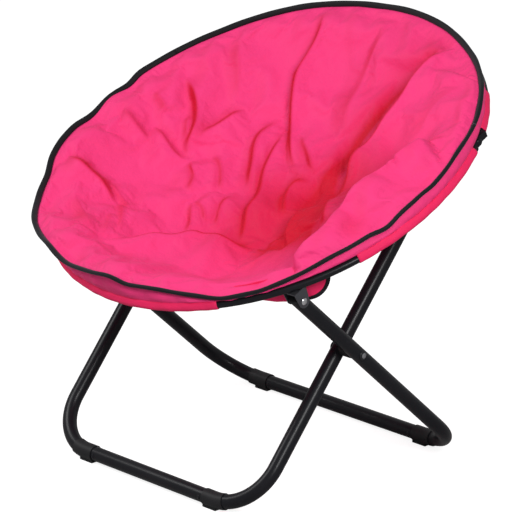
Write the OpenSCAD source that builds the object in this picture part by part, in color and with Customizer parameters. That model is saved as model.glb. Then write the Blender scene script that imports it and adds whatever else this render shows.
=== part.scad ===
// Folding round chair: two crossed tube leg frames carry a hoop that is hinged
// behind its middle, and a padded bowl seat hangs from the hoop.
// Millimetres, +Z up, front towards -Y, origin on the floor under the middle.

/* [Leg frames] */
// Outside diameter of the leg tube
tube_d = 25; // [22:0.5:28]
// Wall of the leg tube
tube_wall = 1.2; // [1:0.1:2]
// Distance between the centre lines of the two inner legs
inner_width = 486; // [440:1:520]
// Sideways distance from an inner leg to the outer leg beside it
leg_spacing = 42.4; // [38:0.2:50]
// Height of the leg crossing above the floor
pivot_height = 252.3; // [235:0.1:270]
// How far the front floor bar lies in front of the leg crossing
front_reach = 201.9; // [185:0.1:220]
// How far the rear floor bar lies behind the leg crossing
rear_reach = 260.4; // [240:0.1:280]
// Centre line radius of the bend at each floor corner
bend_r = 85; // [70:1:95]
// From the leg crossing up to the pin of the front bracket
front_arm = 188.5; // [180:0.5:198]
// How far the leg tube runs on past its bracket pin
leg_end = 8.5; // [7:0.1:9]
// How far the leg crossing lies in front of the origin
pivot_set = 63.25; // [50:0.25:90]

/* [Feet and rivets] */
// Length of a foot sleeve on the straight of the bar
foot_length = 22; // [16:1:34]
// Length of a foot sleeve along the bend
foot_bend_length = 22; // [12:1:34]
// Wall of the foot sleeve
foot_wall = 1.6; // [1:0.1:3]
// Thickness of the sole under the tube
foot_sole = 3; // [2:0.1:5]
// Width of the sole
foot_width = 18; // [12:0.5:20]
// Straight stub of the leg that meets the floor bar
stub_length = 8; // [4:1:14]
// Diameter of the pins at the crossing, brackets and hoop hinge
pin_d = 8; // [6:0.1:9]
// Running clearance all round a pin that turns
pin_clear = 0.06; // [0.03:0.01:0.1]
// Diameter of the rivet heads at the crossing
pivot_head_d = 16; // [13:0.5:19]
// Diameter of the rivet heads on the brackets
bracket_head_d = 12; // [10:0.5:14]
// Diameter of the small rivets in the floor bars
bar_rivet_d = 4; // [3:0.1:5]
// Diameter of the spacer between the legs
spacer_d = 22; // [16:0.5:24]

/* [Hoop] */
// Centre line radius of the hoop
hoop_r = 384; // [376:1:392]
// Diameter of the hoop tube
hoop_d = 13; // [12:0.5:15]
// How far the hoop hinge lies behind the middle of the hoop
hinge_set = 157; // [150:1:160]
// Distance from the hinge pin to where each tube end starts
hinge_gap = 17; // [16:0.5:20]
// Thickness of a flattened tube end
tab_t = 4; // [3:0.1:5]
// Width of a flattened tube end
tab_w = 13; // [12:0.5:16]
// Depth of the front bracket pin below the hoop plane
front_pin_drop = 30; // [28:0.5:33]
// How far the front bracket pin lies behind the hoop tube
front_pin_set = 8.2; // [6:0.1:10]
// How far the rear bracket pin lies in front of the hoop tube
rear_pin_set = 31.2; // [30.5:0.1:33]
// Depth of the rear bracket pin below the hoop plane
rear_pin_drop = 11.1; // [10.6:0.1:12]

/* [Brackets] */
// Sheet thickness of the brackets
bracket_sheet = 2; // [1.5:0.1:2.5]
// Gap between the leg and each bracket cheek
cheek_clear = 0.4; // [0.3:0.05:0.6]
// Width of a bracket cheek at its pin
cheek_w = 22; // [20:0.5:26]
// Length of the front bracket along the seat
bracket_length = 27; // [24:0.5:32]

/* [Seat] */
// How far the sewn rim of the seat pad lies outside the hoop
rim_out = 2; // [-1:0.5:6]
// Height of the sewn rim above the hoop plane
rim_height = 39; // [32:1:44]
// Depth of the top of the seat below the hoop plane
seat_depth = 76; // [50:1:80]
// Depth of the underside of the seat below the hoop plane
seat_bottom = 100; // [90:1:106]
// How far the deepest point lies in front of the middle of the hoop
seat_set = 110; // [90:1:130]
// Height of the pad's flat underside over the hoop sleeves
shelf_height = 8.8; // [8.6:0.1:12]
// How far inside the hoop the underside starts to fall away as a bowl
bowl_in = 41; // [40:1:46]
// Diameter of the cloth sleeves round the hoop
sleeve_d = 16.4; // [15:0.2:17]
// Bare stretch of hoop on each side of a front bracket
front_open = 120; // [100:1:140]
// Bare stretch of hoop on each side of a rear bracket
rear_open = 47; // [42:1:60]
// Bare stretch of hoop on each side of a hinge pin
hinge_open = 26; // [25:1:36]
// Length of the bound edge section
binding_l = 10.5; // [8:0.5:12]
// Thickness of the bound edge section
binding_t = 6.5; // [4:0.5:7]
// How far each bound edge ends short of the hoop hinge
binding_end = 10; // [9:0.5:14]
// How far inside the hoop the cloth flaps hang
flap_in = 29; // [28:0.5:32]
// How far a flap runs from its front bracket towards the front
flap_toe = 87; // [76:1:90]
// How far a flap runs from its front bracket towards the back
flap_heel = 74; // [66:1:78]
// How far the cloth flaps hang below the hoop plane
flap_drop = 50; // [40:1:56]
// Thickness of the cloth flaps
flap_t = 2; // [1.5:0.5:3]

/* [Hidden] */
$fn = 64;

tube_r = tube_d / 2;
pin_r = pin_d / 2;
hoop_tube_r = hoop_d / 2;
outer_width = inner_width + 2 * leg_spacing;
bar_z = tube_r + foot_sole;
pivot_rise = pivot_height - bar_z;

// leg frames: lean from upright and length from the crossing to the floor bar
inner_lean = -atan2(front_reach, pivot_rise);
outer_lean = atan2(rear_reach, pivot_rise);
inner_down = norm([front_reach, pivot_rise]);
outer_down = norm([rear_reach, pivot_rise]);

// where the hoop crosses the legs, and the bracket pins beside it, behind the hoop's middle
front_cross_s = -sqrt(pow(hoop_r, 2) - pow(outer_width / 2, 2));
rear_cross_s = sqrt(pow(hoop_r, 2) - pow(inner_width / 2, 2));
front_pin_s = front_cross_s + front_pin_set;
rear_pin_s = rear_cross_s - rear_pin_set;

// the upper arm of the inner leg ends where the hoop holds the rear pin
pin_rise = front_pin_drop - rear_pin_drop;
pin_span = norm([rear_pin_s - front_pin_s, pin_rise]);
arm_cos = cos(outer_lean - inner_lean);
rear_arm = front_arm * arm_cos + sqrt(pow(pin_span, 2) - pow(front_arm, 2) * (1 - pow(arm_cos, 2)));

// bracket pins in the side view, as [y, z]
front_pin = [-pivot_set - front_arm * sin(outer_lean), pivot_height + front_arm * cos(outer_lean)];
rear_pin = [-pivot_set - rear_arm * sin(inner_lean), pivot_height + rear_arm * cos(inner_lean)];

// the hoop plane passes over both pins at their stated depths
hoop_tilt = atan2(rear_pin[1] - front_pin[1], rear_pin[0] - front_pin[0]) - asin(pin_rise / pin_span);
hoop_y = front_pin[0] - front_pin_s * cos(hoop_tilt) - front_pin_drop * sin(hoop_tilt);
hoop_z = front_pin[1] - front_pin_s * sin(hoop_tilt) + front_pin_drop * cos(hoop_tilt);

// hoop hinge
hinge_x = sqrt(pow(hoop_r, 2) - pow(hinge_set, 2));
hinge_a = asin(hinge_set / hoop_r);
function arc_a(length) = length / hoop_r * 180 / PI;
gap_a = arc_a(hinge_gap);
front_cross_a = acos(outer_width / 2 / hoop_r);
rear_cross_a = acos(inner_width / 2 / hoop_r);
face_gap = 0.3;
tab_run = 7;

// brackets
cheek_in = tube_r + cheek_clear;
cheek_out = cheek_in + bracket_sheet;
bracket_top = -hoop_tube_r - 0.05;
sole_run = 8;
swing_r = norm([leg_end + 1.5, tube_r - 1.5]);
rear_web = -rear_pin_drop + max(swing_r, norm([leg_end, tube_r])) + 0.6;

// soft parts
rim_r = hoop_r + rim_out;
bowl_r = hoop_r - bowl_in;
flap_r = hoop_r - flap_in;
seat_gap = 0.3;
end_a = arc_a(binding_end);
pad_least = 6;
rim_edge = (binding_l + binding_t) / 4 + 0.8;
cloth = "#f8376f";
black = "#17171a";
metal = "#4c4c57";
silver = "#c9c9ce";

// a bell curve over an angle difference, 1 at the middle
function wrap(a) = (a + 900) % 360 - 180;
function bell(a, mid, wide) = exp(-pow(wrap(a - mid) / wide, 2));

// rim line: pulled down by the front right bracket and at the left side, raised in the
// middle of the front, and standing out farther at the front left than at the back
function rim_h(a) = rim_height - 19 * bell(a, 311, 24) - 16 * bell(a, 184, 42) + 10 * bell(a, 266, 14);
function rim_reach(a) =
    rim_r + abs(sin(a) - hinge_set / rim_r) * (21 * bell(a, 205, 45) - 20 * bell(a, 97, 40));

// the way from the deepest point through p: distance of p, direction, and length up to radius r
deepest = [0, -seat_set];
function way(p, r) =
    let (d = p - deepest, l = max(norm(d), 0.01), u = d / l, b = -seat_set * u[1])
    [l, u, -b + sqrt(b * b - pow(seat_set, 2) + r * r)];

// folds pressed into the seat: points, depth, how high the cloth stands beside the fold
// on its left and its right, and how far from the fold it stands highest
folds = [
    [[[-126, 330], [-116, 246], [-67, 129], [24, 33]], 16, 9, 13, 34],
    [[[162, 326], [153, 218], [122, 54], [131, 10]], 16, 9, 14, 30],
    [[[-301, 117], [-243, 78], [-194, -5]], 13, 6, 10, 26],
    [[[-168, 119], [-195, 50], [-205, 12]], 10, 8, 8, 26],
    [[[-345, -142], [-293, -153], [-216, -175]], 12, 9, 8, 28],
    [[[-138, -272], [-66, -196], [20, -152], [85, -142]], 9, 8, 4, 30],
    [[[-90, 130], [-50, 28], [-10, -72], [28, -134]], 8, 5, 8, 28],
    [[[102, -20], [118, -96], [188, -167]], 9, 5, 8, 26],
    [[[-255, 223], [-190, 120]], 5, 4, 4, 34],
    [[[20, 345], [14, 250], [60, 120]], 6, 5, 5, 40]
];
function seg_side(p, a, b) =
    let (ab = b - a, t = max(0, min(1, (p - a) * ab / (ab * ab))), d = norm(p - a - ab * t))
    cross(ab, p - a) < 0 ? -d : d;
function nearest(sides, i = 0, best = 10000) =
    i >= len(sides) ? best : nearest(sides, i + 1, abs(sides[i]) < abs(best) ? sides[i] : best);
function line_side(p, pts) = nearest([for (i = [0 : len(pts) - 2]) seg_side(p, pts[i], pts[i + 1])]);
function fold_h(p, f) =
    let (d = line_side(p, f[0]), u = abs(d) / f[4], far = max(u - 2, 0))
    (d > 0 ? f[2] : f[3]) * u * exp(1 - u - far * far) - f[1] * exp(-2 * u);
function fold_sum(p, i = 0) = i >= len(folds) ? 0 : fold_h(p, folds[i]) + fold_sum(p, i + 1);

// top and underside of the seat above the hoop plane. The cover stands up in a low roll
// inside the rim, and along the near right up to a nearly straight crest that drops into
// the bowl. The seat has a hollow at the front of its bottom
near_crest = [[318, 92], [304, 57], [297, 11], [290, -37], [284, -96], [288, -150], [262, -228]];
function ease(t) = let (c = max(0, min(1, t))) c * c * (3 - 2 * c);
function near_right(a) = ease((wrap(a) + 58) / 24) * ease((38 - wrap(a)) / 34);
function from_binding(inward) = 1 - exp(-pow(inward / 30, 4));
function roll_h(a, inward) =
    (7 + 8 * bell(a, 268, 32)) * (1 - near_right(a))
    * exp(-pow((inward - 50) / 42, 2)) * from_binding(inward);
function crest_h(p, inward) =
    let (d = line_side(p, near_crest), reach = p[1] > -50 ? 170 : 205)
    let (tall = 42 * max(0, 1 - pow((p[1] + 50) / reach, 4)))
    tall * (d < 0 ? exp(-pow(-d / 21, 1.4)) : inward / max(inward + d, 0.01) * from_binding(inward));
function hollow(p) = 20 * exp(-pow((p[0] - 130) / 75, 2) - pow((p[1] + 165) / 60, 2));
function top_h(p) =
    let (w = way(p, rim_r), q = deepest + w[1] * w[2], a = atan2(q[1], q[0]))
    let (whole = w[2] + rim_reach(a) - rim_r, t = min(w[0] / whole, 1), edge = rim_h(a) - rim_edge)
    let (k = 1.45 - 0.2 * sin(a) + 1.1 * near_right(a), inward = (1 - t) * whole)
    let (bowl = edge - (edge + seat_depth) * pow(1 - t * t, k))
    max(low_h(p) + pad_least,
        bowl + roll_h(a, inward) + crest_h(p, inward) - hollow(p) + fold_sum(p) * (1 - pow(t, 8)));
function low_h(p) =
    let (w = way(p, bowl_r), t = min(w[0] / w[2], 1))
    shelf_height - (shelf_height + seat_bottom) * (1 - pow(t, 2.4));

// a seat half is a fan of points from the middle of the hinge line out to the rim: the rim,
// rings over the hoop up to the edge of the bowl, then rings that close in on the middle.
// The underside has one ring for every third ring of the top
seat_mid = [0, hinge_set];
shelf_rings = 3;
bowl_rings = 12;
top_rings = shelf_rings + bowl_rings + 1;
low_rings = (top_rings - 1) / 3 + 1;
function rim_point(a) = rim_reach(a) * [cos(a), sin(a)];
function bowl_edge(e) =
    let (d = e - seat_mid, a = d * d, b = seat_mid * d, c = seat_mid * seat_mid - bowl_r * bowl_r)
    seat_mid + d * (-b + sqrt(b * b - a * c)) / a;
function fan_point(e, k) =
    k <= shelf_rings ? e + (bowl_edge(e) - e) * k / shelf_rings
    : seat_mid + (bowl_edge(e) - seat_mid) * (1 - (k - shelf_rings) / (bowl_rings + 1));

module seat_half(rim, cut) {
    n = len(rim);
    tops = [for (k = [0 : top_rings - 1]) for (e = rim) let (p = fan_point(e, k))
        [p[0], p[1] + cut, top_h(p)]];
    lows = [for (k = [0 : low_rings - 1]) for (e = rim) let (p = fan_point(e, 3 * k))
        [p[0], p[1] + cut, low_h(p)]];
    mids = [for (h = [top_h(seat_mid), low_h(seat_mid)]) [seat_mid[0], seat_mid[1] + cut, h]];
    low = top_rings * n;
    top_mid = low + low_rings * n;
    low_mid = top_mid + 1;
    last = low - n;
    low_last = top_mid - n;
    faces = concat(
        [for (k = [0 : top_rings - 2]) for (i = [0 : n - 2]) let (q = k * n + i)
            each [[q, q + n, q + 1], [q + 1, q + n, q + n + 1]]],
        [for (k = [0 : low_rings - 2]) for (i = [0 : n - 2]) let (q = low + k * n + i)
            each [[q, q + 1, q + n], [q + 1, q + n + 1, q + n]]],
        [for (i = [0 : n - 2])
            each [[last + i, top_mid, last + i + 1], [low_last + i, low_last + i + 1, low_mid]]],
        [for (i = [0 : n - 2]) each [[i, i + 1, low + i], [i + 1, low + i + 1, low + i]]],
        [for (k = [0 : top_rings - 2]) let (q = k * n, m = low + floor(k / 3) * n) [q, m, q + n]],
        [for (k = [0 : low_rings - 2]) let (q = (3 * k + 3) * n, m = low + k * n) [q, m, m + n]],
        [for (k = [0 : top_rings - 2]) let (q = k * n + n - 1, m = low + floor(k / 3) * n + n - 1)
            [q, q + n, m]],
        [for (k = [0 : low_rings - 2]) let (q = (3 * k + 3) * n + n - 1, m = low + k * n + n - 1)
            [q, m + n, m]],
        [[last, low_last, top_mid], [top_mid, low_last, low_mid]],
        [[last + n - 1, top_mid, low_last + n - 1], [top_mid, low_mid, low_last + n - 1]]
    );
    color(cloth) on_hoop() polyhedron(points = concat(tops, lows, mids), faces = faces, convexity = 6);
}

// frames of reference
module at_crossing(lean) {
    translate([0, -pivot_set, pivot_height])
        rotate([lean, 0, 0]) children();
}
module on_hoop() {
    translate([0, hoop_y, hoop_z])
        rotate([hoop_tilt, 0, 0]) children();
}
module side(s) {
    if (s > 0) children();
    else mirror([1, 0, 0]) children();
}

// a round bar along +X from x0 to x1
module bar_x(x0, x1, r) {
    translate([x0, 0, 0]) rotate([0, 90, 0]) cylinder(h = x1 - x0, r = r);
}
module ring_section(r_out, r_in) {
    difference() {
        circle(r = r_out);
        circle(r = r_in);
    }
}

// a domed rivet head standing on the plane x = 0, towards +X
module rivet_head(r, h) {
    dome = (r * r + h * h) / (2 * h);
    rotate([0, 90, 0])
        rotate_extrude()
            intersection() {
                translate([0, h - dome]) circle(r = dome);
                square([r, h]);
            }
}

// one leg in its own leaning frame: straight, floor bend and stub, at +X
module leg(width, down, up) {
    x = width / 2;
    color(black)
        difference() {
            union() {
                translate([x, 0, -down + bend_r])
                    linear_extrude(down - bend_r + up) ring_section(tube_r, tube_r - tube_wall);
                translate([x - bend_r, 0, -down + bend_r])
                    rotate([90, 0, 0]) rotate([0, 0, -90])
                        rotate_extrude(angle = 90)
                            translate([bend_r, 0]) ring_section(tube_r, tube_r - tube_wall);
                translate([x - bend_r - stub_length, 0, -down])
                    rotate([0, 90, 0])
                        linear_extrude(stub_length) ring_section(tube_r, tube_r - tube_wall);
            }
            bar_x(x - tube_d, x + tube_d, pin_r + pin_clear);
            translate([0, 0, up - leg_end])
                bar_x(x - tube_d, x + tube_d, pin_r + pin_clear);
        }
}

// straight floor bar between the two stubs, in its own frame
module floor_bar(width, y) {
    half = width / 2 - bend_r - stub_length;
    color(black)
        translate([0, y, bar_z])
            difference() {
                rotate([0, 90, 0])
                    linear_extrude(2 * half, center = true) ring_section(tube_r, tube_r - tube_wall);
                for (s = [-1, 1])
                    translate([s * rivet_x(width), 0, 0])
                        rotate([90, 0, 0]) cylinder(h = 2 * tube_d, d = bar_rivet_d, center = true);
            }
}
function rivet_x(width) = width / 2 - bend_r - foot_length - bar_rivet_d - 2;

// two small rivets through a floor bar, front to back
module bar_rivets(width, y) {
    color(silver)
        for (s = [-1, 1])
            translate([s * rivet_x(width), y, bar_z])
                rotate([0, 0, 90]) {
                    bar_x(-tube_r, tube_r, bar_rivet_d / 2);
                    for (m = [0, 1])
                        mirror([m, 0, 0])
                            translate([tube_r, 0, 0]) rivet_head(bar_rivet_d, 1.6);
                }
}

// moulded foot round the end of a bend, with a flat sole on the floor
module foot(width, y, lean, down) {
    x = width / 2 - bend_r;
    bend_a = foot_bend_length / bend_r * 180 / PI;
    r_in = tube_r + 0.1;
    color(black) {
        at_crossing(lean) {
            translate([x, 0, -down + bend_r])
                rotate([90, 0, 0]) rotate([0, 0, -90])
                    rotate_extrude(angle = bend_a)
                        translate([bend_r, 0]) ring_section(r_in + foot_wall, r_in);
            translate([x - foot_length, 0, -down])
                rotate([0, 90, 0])
                    linear_extrude(foot_length) ring_section(r_in + foot_wall, r_in);
        }
        translate([0, y, 0])
            difference() {
                translate([x - foot_length, -foot_width / 2, 0])
                    cube([foot_length + sole_run, foot_width, bar_z / 2]);
                translate([0, 0, bar_z])
                    bar_x(x - 2 * foot_length, x + 2 * foot_bend_length, r_in + foot_wall / 2);
            }
    }
}

// cap in the open top end of a leg
module plug(width, up) {
    color(black)
        translate([width / 2, 0, up]) {
            cylinder(h = 1.5, r1 = tube_r, r2 = tube_r - 1.5);
            translate([0, 0, -3.5]) cylinder(h = 3.5, r = tube_r - tube_wall - 0.05);
        }
}

// rivet through both legs where they cross
module pivot_rivet() {
    x0 = inner_width / 2 - tube_r;
    x1 = outer_width / 2 + tube_r + face_gap;
    color(silver) {
        bar_x(x0, x1, pin_r);
        translate([x1, 0, 0]) rivet_head(pivot_head_d / 2, 3);
        translate([x0, 0, 0]) mirror([1, 0, 0]) rivet_head(pivot_head_d / 2, 3);
    }
}

// spacer between the legs: saddle on the inner leg, flat face to the outer leg
module pivot_spacer() {
    color(black)
        difference() {
            bar_x(inner_width / 2 + 4, outer_width / 2 - tube_r - face_gap, spacer_d / 2);
            rotate([inner_lean, 0, 0])
                translate([inner_width / 2, 0, 0])
                    cylinder(h = 2 * spacer_d, r = tube_r + 0.05, center = true);
            bar_x(0, outer_width, pin_r + 0.02);
        }
}

// a flattened tube end with its pin hole at the hinge, reaching along dir
module hinge_tab(x0, dir) {
    difference() {
        union() {
            translate([0, hinge_set, 0]) bar_x(x0, x0 + tab_t, tab_w / 2);
            translate([x0, dir > 0 ? hinge_set : hinge_set - hinge_gap - tab_run, -tab_w / 2])
                cube([tab_t, hinge_gap + tab_run, tab_w]);
        }
        translate([0, hinge_set, 0]) bar_x(0, 2 * hinge_x, pin_r + 0.02);
    }
}

// part of the hoop tube between two angles
module hoop_arc(a0, a1, r_out, r_in) {
    rotate([0, 0, a0])
        rotate_extrude(angle = a1 - a0)
            translate([hoop_r, 0]) {
                if (r_in > 0) ring_section(r_out, r_in);
                else circle(r = r_out);
            }
}

// cheek outline of a front bracket in [s, h]
module front_cheek() {
    top = bracket_top;
    polygon([
        [front_pin_s - bracket_length / 2, top],
        [front_pin_s - cheek_w / 2, -front_pin_drop],
        [front_pin_s + cheek_w / 2, -front_pin_drop],
        [front_pin_s + bracket_length / 2, top]
    ]);
    translate([front_pin_s, -front_pin_drop]) circle(r = cheek_w / 2);
}

// cheek outline of a rear bracket in [s, h], reaching up to the hoop tube
module rear_cheek() {
    top = rear_web + bracket_sheet;
    polygon([
        [rear_pin_s - cheek_w / 2, -rear_pin_drop],
        [rear_pin_s - cheek_w / 2, top],
        [rear_cross_s + hoop_tube_r + 8, top],
        [rear_cross_s + hoop_tube_r + 8, -hoop_tube_r - 2],
        [rear_pin_s + cheek_w / 2, -rear_pin_drop - 4]
    ]);
    translate([rear_pin_s, -rear_pin_drop]) circle(r = cheek_w / 2);
}

// sheet standing across X between x0 and x1 with its outline in [s, h]
module cheek_plate(x0, x1) {
    translate([x0, 0, 0])
        rotate([90, 0, 90]) linear_extrude(x1 - x0) children();
}

// a channel bracket round a leg of the given frame width
module front_bracket_body() {
    x = outer_width / 2;
    color(metal)
        difference() {
            union() {
                cheek_plate(x - cheek_out, x - cheek_in) front_cheek();
                cheek_plate(x + cheek_in, x + cheek_out) front_cheek();
                translate([x - cheek_out, front_pin_s - bracket_length / 2, bracket_top - bracket_sheet])
                    cube([2 * cheek_out, bracket_length, bracket_sheet]);
            }
            translate([0, front_pin_s, -front_pin_drop])
                bar_x(x - tube_d, x + tube_d, pin_r + 0.02);
        }
}
module rear_bracket_body() {
    x = inner_width / 2;
    color(metal)
        difference() {
            union() {
                cheek_plate(x - cheek_out, x - cheek_in) rear_cheek();
                cheek_plate(x + cheek_in, x + cheek_out) rear_cheek();
                translate([x - cheek_out, rear_pin_s - cheek_w / 2, rear_web])
                    cube([2 * cheek_out, rear_cross_s - rear_pin_s + cheek_w / 2 + 8, bracket_sheet]);
            }
            rotate_extrude() translate([hoop_r, 0]) circle(r = hoop_tube_r + 0.05);
            difference() {
                translate([x - tube_d, 0, -hoop_r / 4]) cube([2 * tube_d, hoop_r * 1.2, hoop_r / 2]);
                cylinder(h = hoop_r, r = hoop_r, center = true);
            }
            translate([0, rear_pin_s, -rear_pin_drop])
                bar_x(x - tube_d, x + tube_d, pin_r + 0.02);
        }
}

// rivet through a bracket and its leg, heads against the cheeks
module bracket_rivet(x) {
    color(silver) {
        bar_x(x - cheek_out, x + cheek_out, pin_r);
        for (m = [0, 1])
            translate([x, 0, 0]) mirror([m, 0, 0])
                translate([cheek_out, 0, 0]) rivet_head(bracket_head_d / 2, 2.4);
    }
}

// bound edge swept along the rim line between two angles
module rim_binding(a0, a1, steps) {
    sides = 8;
    ring = [for (k = [0 : sides - 1]) let (q = 360 * k / sides)
        [(binding_l / 2 * cos(q) - binding_t / 2 * sin(q)) * cos(45),
            (binding_l / 2 * cos(q) + binding_t / 2 * sin(q)) * sin(45)]];
    pts = [for (i = [0 : steps]) let (a = a0 + (a1 - a0) * i / steps) for (c = ring)
        [(rim_reach(a) + c[0]) * cos(a), (rim_reach(a) + c[0]) * sin(a), rim_h(a) + c[1]]];
    caps = [[for (k = [0 : sides - 1]) k], [for (k = [sides - 1 : -1 : 0]) steps * sides + k]];
    faces = concat(caps, [for (i = [0 : steps - 1]) for (k = [0 : sides - 1]) let (m = (k + 1) % sides)
        each [[i * sides + m, i * sides + k, (i + 1) * sides + k],
            [i * sides + m, (i + 1) * sides + k, (i + 1) * sides + m]]]);
    color(black) polyhedron(points = pts, faces = faces, convexity = 4);
}

// cloth flap behind a front bracket: [along the hoop, height] outline
flap_mid = -front_cross_a - 1;
flap_round = flap_drop / 4;
module flap_outline(grow) {
    top = shelf_height - seat_gap;
    polygon([
        [-flap_toe, top], [-flap_toe, -flap_drop / 6 - grow], [-flap_toe * 0.28, -flap_drop * 0.8 - grow],
        [flap_heel * 0.27, -flap_drop - grow], [flap_heel * 0.65, -flap_drop - grow],
        [flap_heel - flap_round + grow * 0.7, -flap_drop + flap_round - grow * 0.7],
        [flap_heel - flap_round / 3 + grow, -flap_drop / 2], [flap_heel + grow, top]
    ]);
}
module flap_shell(t) {
    reach_a = arc_a(flap_toe + flap_heel);
    rotate([0, 0, flap_mid - reach_a])
        rotate_extrude(angle = 2 * reach_a)
            translate([flap_r - t / 2, -hoop_r / 4]) square([t, hoop_r / 2]);
}
module flap_prism() {
    rotate([0, 0, flap_mid]) translate([flap_r / 2, 0, 0])
        rotate([90, 0, 90]) linear_extrude(flap_r) children();
}

module inner_leg(s) { at_crossing(inner_lean) side(s) leg(inner_width, inner_down, rear_arm + leg_end); }
module inner_leg_left() { inner_leg(-1); }
module inner_leg_right() { inner_leg(1); }
module inner_floor_bar() { floor_bar(inner_width, -pivot_set - front_reach); }
module inner_bar_rivets() { bar_rivets(inner_width, -pivot_set - front_reach); }
module front_foot_left() { side(-1) foot(inner_width, -pivot_set - front_reach, inner_lean, inner_down); }
module front_foot_right() { side(1) foot(inner_width, -pivot_set - front_reach, inner_lean, inner_down); }
module inner_plug_left() { at_crossing(inner_lean) side(-1) plug(inner_width, rear_arm + leg_end); }
module inner_plug_right() { at_crossing(inner_lean) side(1) plug(inner_width, rear_arm + leg_end); }
module pivot_rivet_left() { at_crossing(0) side(-1) pivot_rivet(); }
module pivot_rivet_right() { at_crossing(0) side(1) pivot_rivet(); }
module pivot_spacer_left() { at_crossing(0) side(-1) pivot_spacer(); }
module pivot_spacer_right() { at_crossing(0) side(1) pivot_spacer(); }

module outer_leg(s) { at_crossing(outer_lean) side(s) leg(outer_width, outer_down, front_arm + leg_end); }
module outer_leg_left() { outer_leg(-1); }
module outer_leg_right() { outer_leg(1); }
module outer_floor_bar() { floor_bar(outer_width, -pivot_set + rear_reach); }
module outer_bar_rivets() { bar_rivets(outer_width, -pivot_set + rear_reach); }
module rear_foot_left() { side(-1) foot(outer_width, -pivot_set + rear_reach, outer_lean, outer_down); }
module rear_foot_right() { side(1) foot(outer_width, -pivot_set + rear_reach, outer_lean, outer_down); }
module outer_plug_left() { at_crossing(outer_lean) side(-1) plug(outer_width, front_arm + leg_end); }
module outer_plug_right() { at_crossing(outer_lean) side(1) plug(outer_width, front_arm + leg_end); }

module front_hoop() {
    color(black) on_hoop() {
        hoop_arc(180 - hinge_a + gap_a, 360 + hinge_a - gap_a, hoop_tube_r, 0);
        for (s = [-1, 1]) side(s) hinge_tab(hinge_x + face_gap / 2, -1);
    }
}
module front_bracket_left() { on_hoop() side(-1) front_bracket_body(); }
module front_bracket_right() { on_hoop() side(1) front_bracket_body(); }
module front_rivet(s) {
    on_hoop() side(s) translate([0, front_pin_s, -front_pin_drop]) bracket_rivet(outer_width / 2);
}
module front_bracket_rivet_left() { front_rivet(-1); }
module front_bracket_rivet_right() { front_rivet(1); }

// head half of the hoop hinge pin, in the front tab
module hinge_head(s) {
    color(silver) on_hoop() side(s)
        translate([hinge_x + face_gap / 2, hinge_set, 0]) {
            bar_x(0, tab_t, pin_r);
            translate([tab_t, 0, 0]) rivet_head(bracket_head_d / 2, 2.4);
        }
}
module hinge_rivet_left() { hinge_head(-1); }
module hinge_rivet_right() { hinge_head(1); }

// cloth sleeves round the hoop
front_open_a = arc_a(front_open);
rear_open_a = arc_a(rear_open);
sleeve_end_a = hinge_a - arc_a(hinge_open);
rear_end_a = hinge_a + arc_a(hinge_open);
module hoop_sleeve(a0, a1) {
    color(cloth) on_hoop() hoop_arc(a0, a1, sleeve_d / 2, hoop_tube_r + 0.25);
}
front_end_a = front_cross_a + front_open_a;
module front_sleeve_middle() { hoop_sleeve(180 + front_end_a, 360 - front_end_a); }
module front_sleeve_right() { hoop_sleeve(-front_cross_a + front_open_a, sleeve_end_a); }
module front_sleeve_left() { hoop_sleeve(180 - sleeve_end_a, 180 + front_cross_a - front_open_a); }
module rear_sleeve_right() { hoop_sleeve(rear_end_a, rear_cross_a - rear_open_a); }
module rear_sleeve_middle() { hoop_sleeve(rear_cross_a + rear_open_a, 180 - rear_cross_a - rear_open_a); }
module rear_sleeve_left() { hoop_sleeve(180 - rear_cross_a + rear_open_a, 180 - rear_end_a); }

rim_hinge_a = asin(hinge_set / rim_r);
front_steps = 54;
rear_steps = 40;
function rim_arc(a0, a1, steps) = [for (i = [0 : steps]) rim_point(a0 + (a1 - a0) * i / steps)];
module seat_pad_front() {
    seat_half(rim_arc(180 - rim_hinge_a, 360 + rim_hinge_a, front_steps), -seat_gap / 2);
}
module seat_pad_rear() {
    seat_half(rim_arc(rim_hinge_a, 180 - rim_hinge_a, rear_steps), seat_gap / 2);
}
module front_edge_binding() {
    on_hoop() rim_binding(180 - rim_hinge_a + end_a, 360 + rim_hinge_a - end_a, 72);
}
module rear_edge_binding() {
    on_hoop() rim_binding(rim_hinge_a + end_a, 180 - rim_hinge_a - end_a, 44);
}

module flap(s) {
    color(cloth) on_hoop() side(s)
        intersection() {
            flap_shell(flap_t);
            flap_prism() flap_outline(0);
        }
}
module front_flap_left() { flap(-1); }
module front_flap_right() { flap(1); }
module flap_edge(s) {
    color(black) on_hoop() side(s)
        intersection() {
            flap_shell(flap_t + 2);
            flap_prism() difference() {
                flap_outline(8);
                flap_outline(0.2);
                translate([-2 * flap_toe, -hoop_r / 2]) square([2 * flap_toe - pin_r, hoop_r]);
            }
        }
}
module flap_binding_left() { flap_edge(-1); }
module flap_binding_right() { flap_edge(1); }

module rear_hoop() {
    color(black) on_hoop() {
        hoop_arc(hinge_a + gap_a, 180 - hinge_a - gap_a, hoop_tube_r, 0);
        for (s = [-1, 1]) side(s) hinge_tab(hinge_x - face_gap / 2 - tab_t, 1);
    }
}
module rear_bracket_left() { on_hoop() side(-1) rear_bracket_body(); }
module rear_bracket_right() { on_hoop() side(1) rear_bracket_body(); }
module rear_rivet(s) {
    on_hoop() side(s) translate([0, rear_pin_s, -rear_pin_drop]) bracket_rivet(inner_width / 2);
}
module rear_bracket_rivet_left() { rear_rivet(-1); }
module rear_bracket_rivet_right() { rear_rivet(1); }

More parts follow.
